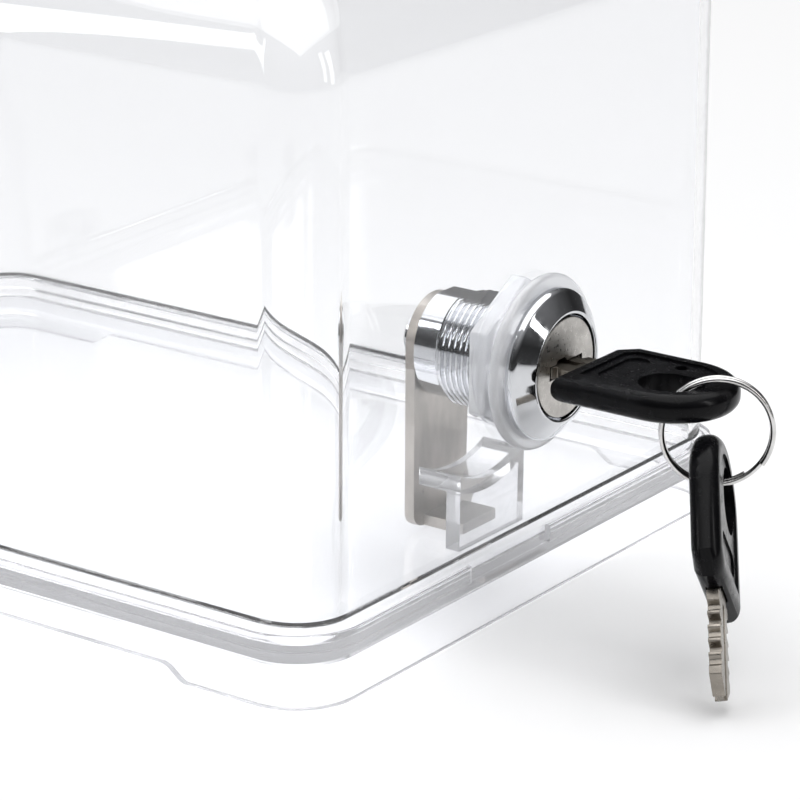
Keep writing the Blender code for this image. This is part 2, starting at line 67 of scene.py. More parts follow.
# Box
WALL = 2.5 * MM
TRAY_WALL = 2.0 * MM
TRAY_ROOM = 0.6 * MM                # between the cover's wall and the tray's inside
DRAFT = math.tan(math.radians(0.5))
PLAN_RADIUS = 9.0 * MM
TOP_RADIUS = 15.0 * MM
FRAME_HEIGHT = 2.2 * MM
FRAME_WIDTH = 2.2 * MM
FRAME_HALF_LENGTH = 62.0 * MM
FRAME_HALF_WIDTH = 35.0 * MM
LIP_OUT = 2.0 * MM
SKIRT_OUT = 1.0 * MM
LIP_HEIGHT = 2.7 * MM
FLOOR_TOP = 8.6 * MM
FLOOR_THICK = 2.0 * MM
CUTOUT_HEIGHT = 2.4 * MM
CUTOUT_EASE = 5.0 * MM
FOOT_LENGTH = 27.0 * MM
NOTCH_LOW_Y = -19.0 * MM
NOTCH_HIGH_Y = 2.0 * MM
NOTCH_LEFT = 0.05 * MM              # what stays of the lip outside the skirt
SLOT_LENGTH = 70.0 * MM
SLOT_WIDTH = 5.0 * MM
SEAT_Z = COVER_LOW.z - GAP
HEIGHT = COVER_HIGH.z - FRAME_HEIGHT
HALF_WIDTH = BASE_HIGH.y - LIP_OUT
LOCK_SIDE_X = BASE_HIGH.x - LIP_OUT
HALF_LENGTH = 76.5 * MM
BODY_X = LOCK_SIDE_X - HALF_LENGTH

# Lock; distances along +X are from the cover's outer face at the lock's height
LOCK_Z = (HOUSING_LOW.z + HOUSING_HIGH.z) / 2
LOCK_X = LOCK_SIDE_X - DRAFT * (LOCK_Z - SEAT_Z)
BARREL_RADIUS = 9.0 * MM
FLAT_HALF = 8.0 * MM
THREAD_PITCH = 1.0 * MM
THREAD_DEPTH = 0.7 * MM
THREAD_FROM = -2.6 * MM
THREAD_TO = -13.6 * MM
BARREL_START = 1.5 * MM
BARREL_END = -17.5 * MM
BORE_RADIUS = 6.3 * MM
SCREW_HOLE_RADIUS = 1.95 * MM
NUT_CORNER_RADIUS = 12.6 * MM
NUT_THICK = 3.0 * MM
NUT_MIDDLE = 2.0 * MM               # in from the cover's inner face
CAM_SQUARE = 6.6 * MM
CAM_REACH = 28.5 * MM
CAM_HALF_WIDTH = 7.0 * MM
CAM_TOP_RADIUS = 7.4 * MM
CAM_BACK = -19.7 * MM
CAM_FRONT = -18.0 * MM
CAM_FOOT_RADIUS = 2.6 * MM
CAM_TIP_HALF_WIDTH = 4.4 * MM
CAM_TIP_END = -12.2 * MM
CATCH_FACE = -8.5 * MM
CATCH_WALL = 2.5 * MM
CATCH_HALF_WIDTH = 8.6 * MM
CATCH_END = -16.0 * MM
CATCH_INNER_RADIUS = 19.4 * MM
CATCH_OUTER_RADIUS = 22.0 * MM
CATCH_STEPS = 24

# Hinge
HINGE_OUT = 3.2 * MM
HINGE_UP = 3.2 * MM
HINGE_Y = 34.0 * MM
EAR_RADIUS = 2.6 * MM
EAR_THICK = 3.0 * MM
STUB_RADIUS = 1.4 * MM
WEB_HALF = 2.0 * MM
POST_RELIEF = 0.9 * MM

# Keys and ring
KEY_X = LOCK_X + 8.6 * MM
HEAD_HALF_WIDTH = 10.0 * MM
HEAD_LENGTH = 25.0 * MM
HEAD_THICK = 4.4 * MM
HEAD_RIM = 2.0 * MM
HEAD_START = 0.6 * MM
HOLE_RADIUS = 4.3 * MM
HOLE_FROM = 15.4 * MM
HOLE_TO = 16.8 * MM
HOLE_Y = -2.0 * MM
BLADE_LENGTH = 15.0 * MM
BLADE_HALF_WIDTH = 3.8 * MM
BLADE_THICK = 1.8 * MM
TANG_LENGTH = 8.0 * MM
TANG_HALF_WIDTH = 2.6 * MM
RING_RADIUS = 8.0 * MM
WIRE_RADIUS = 0.42 * MM
RING_PITCH = 0.95 * MM
RING_TURNS = 1.94
RING_START = math.radians(-35.0)
WIRE_TO_WEB = 2.0 * MM
RING_TURNED = math.radians(35.0)
RING_CENTRE = Vector((LOCK_X + 31.4 * MM, 0.0, LOCK_Z - 4.6 * MM))
SPARE_LEAN = math.radians(45.5)
SPARE_ROLL = math.radians(76.0)

# Camera and light
VIEW_AZIMUTH = math.radians(34.95)
VIEW_ELEVATION = math.radians(18.67)
VIEW_ROLL = math.radians(0.66)
VIEW_DISTANCE = 0.5176
VIEW_LENS = 157.6                   # mm
VIEW_SENSOR = 36.0                  # mm
AIM_LEFT = 22.0 * MM                # the view's middle, from the lock's bezel
AIM_DOWN = 5.4 * MM
BEZEL_MIDDLE = 2.5 * MM
FLOOR_HALF = 4.0
FLOOR_DROP = 0.0002

# How finely shapes are divided, and how close two points count as one
CORNER_STEPS = 20
ROUND_STEPS = 96
CYLINDER_STEPS = 64
PIN_STEPS = 40
SAME_POINT = 0.001 * MM
DOUBLED_POINT = 0.002 * MM


# ---------------------------------------------------------------- shapes

def new_object(name, data):
    obj = bpy.data.objects.new(name, data)
    bpy.context.scene.collection.objects.link(obj)
    return obj


def from_bmesh(name, shape):
    mesh = bpy.data.meshes.new(name)
    shape.to_mesh(mesh)
    shape.free()
    return new_object(name, mesh)


def solid(name, shape):
    """An object whose faces all point outward."""
    bmesh.ops.recalc_face_normals(shape, faces=shape.faces)
    return from_bmesh(name, shape)


def skin(shape, rings, closed=False):
    """Four-sided faces from each ring of points to the next."""
    pairs = list(zip(rings, rings[1:])) + ([(rings[-1], rings[0])] if closed else [])
    for first, second in pairs:
        for i in range(len(first)):
            j = (i + 1) % len(first)
            shape.faces.new((first[i], first[j], second[j], second[i]))


def cap_ends(shape, rings):
    shape.faces.new(list(reversed(rings[0])))
    shape.faces.new(rings[-1])


def evaluated_mesh(obj):
    """The mesh that a curve's fill or an object's modifiers make."""
    bpy.context.view_layer.update()
    evaluated = obj.evaluated_get(bpy.context.evaluated_depsgraph_get())
    return bpy.data.meshes.new_from_object(evaluated)


def arc(centre, radius, start_deg, end_deg, steps):
    points = []
    for i in range(steps + 1):
        angle = math.radians(start_deg + (end_deg - start_deg) * i / steps)
        points.append((centre[0] + radius * math.cos(angle),
                       centre[1] + radius * math.sin(angle)))
    return points


def rectangle(low_x, low_y, high_x, high_y):
    return [(low_x, low_y), (high_x, low_y), (high_x, high_y), (low_x, high_y)]


def rounded_rectangle(half_x, half_y, radius):
    points = []
    for sign_x, sign_y, start in ((1, 1, 0), (-1, 1, 90), (-1, -1, 180), (1, -1, 270)):
        centre = (sign_x * (half_x - radius), sign_y * (half_y - radius))
        points += arc(centre, radius, start, start + 90, CORNER_STEPS)
    return points


def loft(name, sections):
    """A solid through rounded rectangles (half_x, half_y, radius, z), capped at both ends."""
    shape = bmesh.new()
    rings = []
    for half_x, half_y, radius, z in sections:
        outline = rounded_rectangle(half_x, half_y, radius)
        rings.append([shape.verts.new((BODY_X + x, y, z)) for x, y in outline])
    skin(shape, rings)
    cap_ends(shape, rings)
    return solid(name, shape)


def box(name, low, high):
    low, high = Vector(low), Vector(high)
    shape = bmesh.new()
    place = Matrix.Translation((low + high) / 2) @ Matrix.Diagonal((*(high - low), 1.0))
    bmesh.ops.create_cube(shape, size=1.0, matrix=place)
    return from_bmesh(name, shape)


def cylinder(name, radius, start, end, steps=CYLINDER_STEPS):
    start, end = Vector(start), Vector(end)
    shape = bmesh.new()
    turn = (end - start).to_track_quat("Z", "Y").to_matrix().to_4x4()
    place = Matrix.Translation((start + end) / 2) @ turn
    bmesh.ops.create_cone(shape, cap_ends=True, segments=steps, radius1=radius, radius2=radius,
                          depth=(end - start).length, matrix=place)
    return from_bmesh(name, shape)


def lock_plane_at(along):
    """Puts a plate's x, y and thickness along the object's Y, Z and X at the lock."""
    return Matrix(((0, 0, 1, LOCK_X + along), (1, 0, 0, 0), (0, 1, 0, LOCK_Z), (0, 0, 0, 1)))


def plate(name, outlines, thickness, place):
    """A flat piece: the first outline is its edge and the others are its holes."""
    curve = bpy.data.curves.new(name, "CURVE")
    curve.dimensions = "2D"
    curve.fill_mode = "BOTH"
    curve.extrude = thickness / 2
    for outline in outlines:
        spline = curve.splines.new("POLY")
        spline.points.add(len(outline) - 1)
        for point, (x, y) in zip(spline.points, outline):
            point.co = (x, y, 0.0, 1.0)
        spline.use_cyclic_u = True
    source = new_object(name + "_outline", curve)
    mesh = evaluated_mesh(source)
    bpy.data.objects.remove(source, do_unlink=True)
    shape = bmesh.new()
    shape.from_mesh(mesh)
    bpy.data.meshes.remove(mesh)
    bmesh.ops.remove_doubles(shape, verts=shape.verts, dist=SAME_POINT)
    bmesh.ops.transform(shape, matrix=place, verts=shape.verts)
    return solid(name, shape)


def ring_about_lock(shape, radius, along):
    """Points round the lock's axis, or one point on it."""
    ring = []
    for i in range(ROUND_STEPS if radius else 1):
        angle = 2 * math.pi * i / ROUND_STEPS
        ring.append(shape.verts.new((LOCK_X + along, radius * math.cos(angle),
                                     LOCK_Z + radius * math.sin(angle))))
    return ring


def turned(name, profile, closed=False):
    """A shape turned about the lock's axis; the profile is (radius, distance along +X) in mm."""
    shape = bmesh.new()
    rings = [ring_about_lock(shape, radius * MM, along * MM) for radius, along in profile]
    pairs = list(zip(rings, rings[1:])) + ([(rings[-1], rings[0])] if closed else [])
    for first, second in pairs:
        for i in range(ROUND_STEPS):
            corners = [first[i % len(first)], first[(i + 1) % len(first)],
                       second[(i + 1) % len(second)], second[i % len(second)]]
            unique = list(dict.fromkeys(corners))
            if len(unique) > 2:
                shape.faces.new(unique)
    return solid(name, shape)


def boolean(target, tool, operation):
    modifier = target.modifiers.new(operation.lower(), "BOOLEAN")
    modifier.operation = operation
    modifier.solver = "EXACT"
    modifier.object = tool
    apply_modifiers(target)
    bpy.data.objects.remove(tool, do_unlink=True)


def apply_modifiers(obj):
    """Keeps the evaluated mesh and drops the modifiers."""
    mesh = evaluated_mesh(obj)
    old = obj.data
    obj.modifiers.clear()
    obj.data = mesh
    bpy.data.meshes.remove(old)


def cut(target, *tools):
    for tool in tools:
        boolean(target, tool, "DIFFERENCE")


def join(target, *tools):
    for tool in tools:
        boolean(target, tool, "UNION")


def bevel(obj, width, segments, angle=40.0):
    """Rounds the edges that are sharper than the angle."""
    modifier = obj.modifiers.new("rounded_edges", "BEVEL")
    modifier.width = width
    modifier.segments = segments
    modifier.limit_method = "ANGLE"
    modifier.angle_limit = math.radians(angle)
    modifier.use_clamp_overlap = True
    modifier.miter_outer = "MITER_ARC"
    apply_modifiers(obj)


def clean(obj):
    """Merges doubled points and drops the slivers that cuts leave."""
    shape = bmesh.new()
    shape.from_mesh(obj.data)
    bmesh.ops.remove_doubles(shape, verts=shape.verts, dist=DOUBLED_POINT)
    bmesh.ops.dissolve_degenerate(shape, edges=shape.edges, dist=SAME_POINT)
    shape.to_mesh(obj.data)
    shape.free()


def smooth(obj, angle):
    """Smooth shading with flat faces kept flat."""
    obj.data.shade_smooth()
    obj.data.set_sharp_from_angle(angle=math.radians(angle))
    modifier = obj.modifiers.new("flat_faces_stay_flat", "WEIGHTED_NORMAL")
    modifier.keep_sharp = True
    modifier.mode = "FACE_AREA"
    modifier.weight = 60


# ---------------------------------------------------------------- materials

class Nodes:
    """A material's node tree with short calls."""

    def __init__(self, name):
        self.material = bpy.data.materials.new(name)
        self.material.use_nodes = True
        self.tree = self.material.node_tree
        self.shader = self.tree.nodes["Principled BSDF"]
        self.output = self.tree.nodes["Material Output"]

    def add(self, kind, **values):
        node = self.tree.nodes.new(kind)
        for key, value in values.items():
            if hasattr(node, key):
                setattr(node, key, value)
            else:
                node.inputs[key.replace("_", " ")].default_value = value
        return node

    def link(self, out, into):
        self.tree.links.new(out, into)

    def place(self):
        return self.add("ShaderNodeTexCoord").outputs["Object"]

    def stretched(self, scale):
        mapping = self.add("ShaderNodeMapping")
        mapping.inputs["Scale"].default_value = scale
        self.link(self.place(), mapping.inputs["Vector"])
        return mapping.outputs["Vector"]

    def noise(self, scale, detail, roughness=0.5, vector=None):
        node = self.add("ShaderNodeTexNoise", Scale=scale, Detail=detail, Roughness=roughness)
        self.link(vector or self.place(), node.inputs["Vector"])
        return node.outputs["Fac"]

    def ramp(self, value, *stops):
        """Maps the range of the first two stops onto that of the last two."""
        node = self.add("ShaderNodeMapRange")
        self.link(value, node.inputs["Value"])
        for name, number in zip(("From Min", "From Max", "To Min", "To Max"), stops):
            node.inputs[name].default_value = number
        return node.outputs["Result"]

    def mix(self, value, first, second):
        node = self.add("ShaderNodeMix", data_type="RGBA")
        self.link(value, node.inputs["Factor"])
        for socket, color in ((6, first), (7, second)):     # the node's colour sockets
            node.inputs[socket].default_value = (*color, 1.0)
        return node.outputs[2]

    def bump(self, height, strength, distance):
        node = self.add("ShaderNodeBump", Strength=strength, Distance=distance)
        self.link(height, node.inputs["Height"])
        self.link(node.outputs["Normal"], self.shader.inputs["Normal"])

    def base(self, color, roughness, metallic=0.0, **values):
        self.shader.inputs["Base Color"].default_value = (*color, 1.0)
        self.shader.inputs["Roughness"].default_value = roughness
        self.shader.inputs["Metallic"].default_value = metallic
        for key, value in values.items():
            self.shader.inputs[key.replace("_", " ")].default_value = value


def clear_plastic(name, ripple, clarity, color=(0.972, 0.976, 0.984)):
    """Polystyrene with faint moulding ripple and a light haze of handling marks.

    Shadow rays pass nearly unchanged, so that lamps light what is inside.
    """
    nodes = Nodes(name)
    nodes.base(color, 0.02, Transmission_Weight=clarity, IOR=1.5)
    haze = nodes.noise(55.0, 4.0, 0.6)
    nodes.link(nodes.ramp(haze, 0.45, 0.8, 0.012, 0.05), nodes.shader.inputs["Roughness"])
    nodes.bump(nodes.noise(28.0, 1.0, 0.4), ripple, 0.0004)
    lamps = nodes.add("ShaderNodeLightPath").outputs["Is Shadow Ray"]
    open_shader = nodes.add("ShaderNodeBsdfTransparent")
    open_shader.inputs["Color"].default_value = (0.985, 0.987, 0.99, 1.0)
    mix = nodes.add("ShaderNodeMixShader")
    nodes.link(lamps, mix.inputs[0])
    nodes.link(nodes.shader.outputs[0], mix.inputs[1])
    nodes.link(open_shader.outputs[0], mix.inputs[2])
    nodes.link(mix.outputs[0], nodes.output.inputs["Surface"])
    return nodes.material


def chrome():
    """Bright plate with a slight orange-peel and fine wear in its gloss."""
    nodes = Nodes("bright_chrome")
    nodes.base((0.63, 0.64, 0.66), 0.06, 1.0)
    nodes.link(nodes.ramp(nodes.noise(900.0, 4.0, 0.6), 0.35, 0.75, 0.035, 0.13),
               nodes.shader.inputs["Roughness"])
    nodes.link(nodes.mix(nodes.noise(260.0, 3.0), (0.56, 0.57, 0.59), (0.70, 0.71, 0.73)),
               nodes.shader.inputs["Base Color"])
    nodes.bump(nodes.noise(420.0, 2.0), 0.05, 0.0002)
    return nodes.material


def satin_nickel(name, color, scale=(1.0, 1.0, 1.0), roughness=(0.22, 0.42)):
    """Tumbled nickel plate: a fine grain, with random cloudy patches of darker tone."""
    nodes = Nodes(name)
    nodes.base(color, 0.3, 1.0)
    vector = nodes.stretched(scale)
    grain = nodes.noise(1400.0, 5.0, 0.65, vector)
    cloud = nodes.noise(320.0, 3.0, 0.55, vector)
    dark = tuple(0.72 * c for c in color)
    nodes.link(nodes.mix(nodes.ramp(cloud, 0.35, 0.7, 0.0, 1.0), dark, color),
               nodes.shader.inputs["Base Color"])
    nodes.link(nodes.ramp(grain, 0.3, 0.7, *roughness), nodes.shader.inputs["Roughness"])
    nodes.bump(grain, 0.18, 0.0001)
    return nodes.material


def black_plastic():
    """Glossy moulded plastic with a faint texture and rubbed spots."""
    nodes = Nodes("key_black_plastic")
    nodes.base((0.004, 0.004, 0.0045), 0.25, Specular_IOR_Level=0.18, IOR=1.38)
    nodes.link(nodes.mix(nodes.noise(240.0, 3.0), (0.002, 0.002, 0.0024), (0.006, 0.006, 0.007)),
               nodes.shader.inputs["Base Color"])
    nodes.link(nodes.ramp(nodes.noise(700.0, 4.0, 0.6), 0.3, 0.75, 0.16, 0.32),
               nodes.shader.inputs["Roughness"])
    nodes.bump(nodes.noise(2600.0, 3.0, 0.6), 0.05, 0.0001)
    return nodes.material


CLEAR = clear_plastic("clear_polystyrene", 0.12, 0.985)
CLEAR_THICK = clear_plastic("clear_polystyrene_base", 0.2, 0.86, (0.968, 0.970, 0.985))
MILKY = clear_plastic("milky_plastic", 0.3, 0.6, (0.93, 0.935, 0.95))
CHROME = chrome()
PLUG_METAL = satin_nickel("plug_satin_nickel", (0.58, 0.56, 0.53))
CAM_METAL = satin_nickel("cam_rolled_steel", (0.50, 0.465, 0.43), (1.0, 1.0, 0.35),
                         (0.26, 0.5))
BLADE_METAL = satin_nickel("blade_nickel_silver", (0.36, 0.33, 0.29), (0.3, 1.0, 1.0))
WIRE_METAL = satin_nickel("ring_spring_wire", (0.78, 0.77, 0.76), roughness=(0.08, 0.2))
BRASS = satin_nickel("wafer_brass", (0.78, 0.60, 0.30))
BLACK = black_plastic()


def finish_piece(obj, material, body, nodes, angle):
    """Gives a piece its material and its shading, puts it under its body, and hides the nodes it
    replaces.
    """
    obj.data.materials.clear()
    obj.data.materials.append(material)
    clean(obj)
    smooth(obj, angle)
    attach(obj, body)
    if nodes:
        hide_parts(*nodes)
    return obj


# ---------------------------------------------------------------- box

def cover_sections(inset, base_z, top_z):
    """The cover's drafted walls and rounded top edge, this far in from its outer face."""
    radius = TOP_RADIUS - inset
    shoulder_z = HEIGHT - TOP_RADIUS
    rows = [(z, inset + DRAFT * (z - SEAT_Z)) for z in (base_z, shoulder_z)]
    lean = rows[-1][1]
    for i in range(1, CORNER_STEPS + 1):
        angle = math.pi / 2 * i / CORNER_STEPS
        rows.append((shoulder_z + radius * math.sin(angle),
                     lean + radius * (1.0 - math.cos(angle))))
    rows[-1] = (top_z, rows[-1][1])
    return [(HALF_LENGTH - s, HALF_WIDTH - s, PLAN_RADIUS - inset, z) for z, s in rows]


def make_cover():
    """An inverted tub with a raised frame, a money slot, hinge knuckles and the lock's hole."""
    ease = 0.25 * MM
    rim_z = SEAT_Z + GAP
    outside = cover_sections(0.0, rim_z + ease, HEIGHT)
    inside = cover_sections(WALL, rim_z + ease, HEIGHT - WALL)
    rim = [(HALF_LENGTH - s, HALF_WIDTH - s, PLAN_RADIUS - s, rim_z) for s in (ease, WALL - ease)]
    cover = loft("clear_cover", list(reversed(outside)) + rim + inside)
    join(cover, make_top_frame())
    for side in (1, -1):
        join(cover, make_hinge_knuckle(side))
    cut(cover, make_money_slot(), make_barrel_hole())
    return finish_piece(cover, CLEAR, "cover", ["cover_shell"], 28.0)


def make_money_slot():
    """The slot with rounded ends."""
    steps, depth = 16, 20 * MM
    radius = SLOT_WIDTH / 2
    half = SLOT_LENGTH / 2 - radius
    outline = arc((half, 0), radius, -90, 90, steps) + arc((-half, 0), radius, 90, 270, steps)
    return plate("money_slot", [outline], depth, Matrix.Translation((BODY_X, 0, HEIGHT)))


def make_barrel_hole():
    """A round hole with two flats, as the barrel has."""
    steps, depth = 24, 12 * MM
    clear = BARREL_RADIUS + GAP
    edge = FLAT_HALF + GAP
    reach = math.degrees(math.asin(edge / clear))
    outline = (arc((0, 0), clear, -reach, reach, steps)
               + arc((0, 0), clear, 180 - reach, 180 + reach, steps))
    return plate("barrel_hole", [outline], depth, lock_plane_at(0.0))


def make_top_frame():
    """The raised rim on the top with softened edges."""
    ease, sunk = 0.35 * MM, 0.6 * MM
    corner, eased_corner = 2.0 * MM, 1.65 * MM
    inner_corner, eased_inner_corner = 0.8 * MM, 1.1 * MM
    top = HEIGHT + FRAME_HEIGHT
    low = HEIGHT - sunk
    outer_x, outer_y = FRAME_HALF_LENGTH, FRAME_HALF_WIDTH
    inner_x, inner_y = outer_x - FRAME_WIDTH, outer_y - FRAME_WIDTH
    rim = loft("top_frame", [
        (outer_x, outer_y, corner, low),
        (outer_x, outer_y, corner, top - ease),
        (outer_x - ease, outer_y - ease, eased_corner, top)])
    hollow = loft("top_frame_hollow", [
        (inner_x, inner_y, inner_corner, HEIGHT - 2 * MM),
        (inner_x, inner_y, inner_corner, top - ease),
        (inner_x + ease, inner_y + ease, eased_inner_corner, top),
        (inner_x + ease, inner_y + ease, eased_inner_corner, top + MM)])
    cut(rim, hollow)
    return rim


def hinge_axis():
    """The hinge's x and z; it runs along Y behind the far end."""
    return BODY_X - HALF_LENGTH - HINGE_OUT, SEAT_Z + HINGE_UP


def make_hinge_knuckle(side):
    """The cover's half of a hinge: a knuckle, its web, and a stub that snaps in the ear."""
    past_ear = 0.6 * MM
    axis_x, axis_z = hinge_axis()
    inner = HINGE_Y - EAR_THICK - GAP
    low_y, high_y = sorted((side * (inner - EAR_THICK), side * inner))
    knuckle = cylinder(f"knuckle_{side}", EAR_RADIUS,
                       (axis_x, low_y, axis_z), (axis_x, high_y, axis_z))
    join(knuckle, box("web", (axis_x, low_y, axis_z - WEB_HALF),
                      (BODY_X - HALF_LENGTH + WALL / 2, high_y, axis_z + WEB_HALF)))
    join(knuckle, cylinder("stub", STUB_RADIUS, (axis_x, side * (inner - MM), axis_z),
                           (axis_x, side * (HINGE_Y + past_ear), axis_z), PIN_STEPS))
    return knuckle


def make_base():
    """The tray: skirt, lip, floor, catch, hinge ears and the cut-outs between its feet."""
    lip_x, lip_y = HALF_LENGTH + LIP_OUT, HALF_WIDTH + LIP_OUT
    lip_z = SEAT_Z - LIP_HEIGHT
    radius = PLAN_RADIUS + LIP_OUT
    inner_x, inner_y = HALF_LENGTH - WALL - TRAY_ROOM, HALF_WIDTH - WALL - TRAY_ROOM
    inner_r = radius - (WALL + TRAY_WALL + TRAY_ROOM)
    under = FLOOR_TOP - FLOOR_THICK
    ease = 0.35 * MM
    slight = 0.3 * ease

    def outline(inset, z):
        """A ring this far in from the lip."""
        return (lip_x - inset, lip_y - inset, radius - inset, z)

    skirt_in = LIP_OUT - SKIRT_OUT
    sections = [
        (inner_x, inner_y, inner_r, under),
        outline(skirt_in + TRAY_WALL + ease, under),
        outline(skirt_in + TRAY_WALL, under - ease),
        outline(skirt_in + TRAY_WALL, slight),
        outline(skirt_in + TRAY_WALL - ease, 0.0),
        outline(skirt_in + ease, 0.0),
        outline(skirt_in + slight, slight),
        outline(skirt_in, ease),
        outline(skirt_in, lip_z - ease),
        outline(0.8 * skirt_in, lip_z - 0.2 * ease),
        outline(slight, lip_z),
        outline(0.0, lip_z + ease),
        outline(0.0, SEAT_Z - ease),
        outline(slight, SEAT_Z - slight),
        outline(ease, SEAT_Z),
        (inner_x + ease, inner_y + ease, inner_r + ease, SEAT_Z),
        (inner_x + slight, inner_y + slight, inner_r, SEAT_Z - slight),
        (inner_x, inner_y, inner_r, SEAT_Z - ease),
        (inner_x, inner_y, inner_r, FLOOR_TOP + 3 * ease),
        (inner_x - ease, inner_y - ease, inner_r - ease, FLOOR_TOP + ease),
        (inner_x - 3 * ease, inner_y - 3 * ease, inner_r - 3 * ease, FLOOR_TOP)]
    base = loft("clear_base_tray", sections)
    join(base, make_catch())
    for side in (1, -1):
        join(base, make_hinge_ear(side))
        cut(base, make_skirt_cutout(side))
    notch_x = BODY_X + (HALF_LENGTH + SKIRT_OUT) + NOTCH_LEFT
    cut(base, box("rim_notch", (notch_x, NOTCH_LOW_Y, lip_z - MM),
                  (BODY_X + lip_x + MM, NOTCH_HIGH_Y, SEAT_Z + MM)))
    return finish_piece(base, CLEAR_THICK, "base", ["base_tray"], 28.0)


def make_catch():
    """A wall across the lock side with a flange curved about the lock's axis."""
    sunk = 0.5 * MM
    half = math.degrees(math.asin(CATCH_HALF_WIDTH / CATCH_INNER_RADIUS))
    low = math.degrees(math.asin(CATCH_HALF_WIDTH / CATCH_OUTER_RADIUS))
    upper = arc((0, 0), CATCH_INNER_RADIUS, -90 - half, -90 + half, CATCH_STEPS)
    lower = arc((0, 0), CATCH_OUTER_RADIUS, -90 + low, -90 - low, CATCH_STEPS)
    floor = FLOOR_TOP - sunk - LOCK_Z
    wall = [(-CATCH_HALF_WIDTH, floor), (CATCH_HALF_WIDTH, floor)] + list(reversed(upper))
    middle = CATCH_FACE - CATCH_WALL / 2
    catch = plate("catch_wall", [wall], CATCH_WALL, lock_plane_at(middle))
    flange = plate("catch_flange", [upper + lower], middle - CATCH_END,
                   lock_plane_at((middle + CATCH_END) / 2))
    join(catch, flange)
    bevel(catch, 0.25 * MM, 2, 50.0)
    return catch


def make_hinge_ear(side):
    """The tray's half of a hinge: a bored ear on a post."""
    axis_x, axis_z = hinge_axis()
    low_y, high_y = sorted((side * (HINGE_Y - EAR_THICK), side * HINGE_Y))
    ear = cylinder(f"ear_{side}", EAR_RADIUS, (axis_x, low_y, axis_z), (axis_x, high_y, axis_z))
    join(ear, box("post", (axis_x - EAR_RADIUS, low_y, SEAT_Z - LIP_HEIGHT),
                  (BODY_X - HALF_LENGTH - POST_RELIEF, high_y, axis_z - POST_RELIEF)))
    cut(ear, cylinder("ear_hole", STUB_RADIUS + GAP, (axis_x, low_y - MM, axis_z),
                      (axis_x, high_y + MM, axis_z), PIN_STEPS))
    return ear


def make_skirt_cutout(side):
    """A shallow opening under a long side, which eases into the foot at each end."""
    half = HALF_LENGTH + SKIRT_OUT - FOOT_LENGTH
    rise, ease, steps, depth = CUTOUT_HEIGHT, CUTOUT_EASE, 20, 16 * MM
    right = []
    for i in range(steps + 1):
        t = i / steps
        right.append((half + ease * (1 - t), rise * (0.5 - 0.5 * math.cos(math.pi * t))))
    left = [(-x, z) for x, z in reversed(right)]
    outline = [(half + ease, -rise)] + right + left + [(-half - ease, -rise)]
    middle_y = side * (HALF_WIDTH - WALL)
    upright = Matrix(((1, 0, 0, BODY_X), (0, 0, -1, middle_y), (0, 1, 0, 0), (0, 0, 0, 1)))
    return plate(f"skirt_cutout_{side}", [outline], depth, upright)


# ---------------------------------------------------------------- lock

def make_bezel():
    """The head of the barrel: a cone between two narrow bright bands."""
    profile = [(8.0, 1.6), (8.0, 5.45), (8.15, 5.62), (8.35, 5.7), (8.6, 5.66), (11.05, 3.85),
               (11.3, 3.6), (11.45, 3.3), (11.5, 3.0), (11.5, 2.4), (11.42, 2.24), (11.25, 2.2),
               (8.9, 2.2), (8.9, 1.6)]
    bezel = turned("lock_bezel", profile, closed=True)
    return finish_piece(bezel, CHROME, "cover", ["lock_housing"], 50.0)


def unit(value):
    """The value held between 0 and 1."""
    return min(1.0, max(0.0, value))


def make_barrel():
    """The barrel with a helical thread and two flats; its inner end is plain and thinner.

    The thread's crests are as wide as each flank and its roots are sharp. It fades in and out
    over one pitch.
    """
    rows, crest, shave = 190, 1.5, 0.02 * MM
    shape = bmesh.new()
    rings = []
    for row in range(rows + 1):
        along = BARREL_START + (BARREL_END - BARREL_START) * row / rows
        ring = []
        for i in range(ROUND_STEPS):
            angle = 2 * math.pi * i / ROUND_STEPS
            turn = (along / THREAD_PITCH + i / ROUND_STEPS) % 1.0
            tooth = min(1.0, crest * abs(2 * turn - 1.0))
            in_thread = (unit((THREAD_FROM - along) / THREAD_PITCH)
                         * unit((along - THREAD_TO) / THREAD_PITCH))
            plain = 0.0 if along > THREAD_FROM else THREAD_DEPTH
            depth = plain + (THREAD_DEPTH * (1.0 - tooth) - plain) * in_thread
            radius = BARREL_RADIUS - shave - depth
            y, z = radius * math.cos(angle), radius * math.sin(angle)
            z = max(-FLAT_HALF, min(FLAT_HALF, z))
            ring.append(shape.verts.new((LOCK_X + along, y, LOCK_Z + z)))
        rings.append(ring)
    for along in (BARREL_END, BARREL_START):
        rings.append(ring_about_lock(shape, BORE_RADIUS, along))
    skin(shape, rings, closed=True)
    barrel = solid("lock_barrel", shape)
    return finish_piece(barrel, CHROME, "cover", (), 35.0)


def keyway_outline():
    """The warded slot in mm: each side has one groove, and the two aren't opposite.

    The sides slope outward a little at the ends, so that no three corners lie on one line.
    """
    half = 1.05
    upper = [(-4.4, 0.06), (-2.7, 0.0), (-2.1, 0.65), (-0.3, 0.65), (0.3, 0.0), (4.4, 0.08)]
    lower = [(4.4, 0.06), (3.0, 0.0), (2.5, 0.6), (1.0, 0.6), (0.5, 0.0), (-4.4, 0.08)]
    return ([(y * MM, (half + out) * MM) for y, out in upper]
            + [(y * MM, -(half + out) * MM) for y, out in lower])


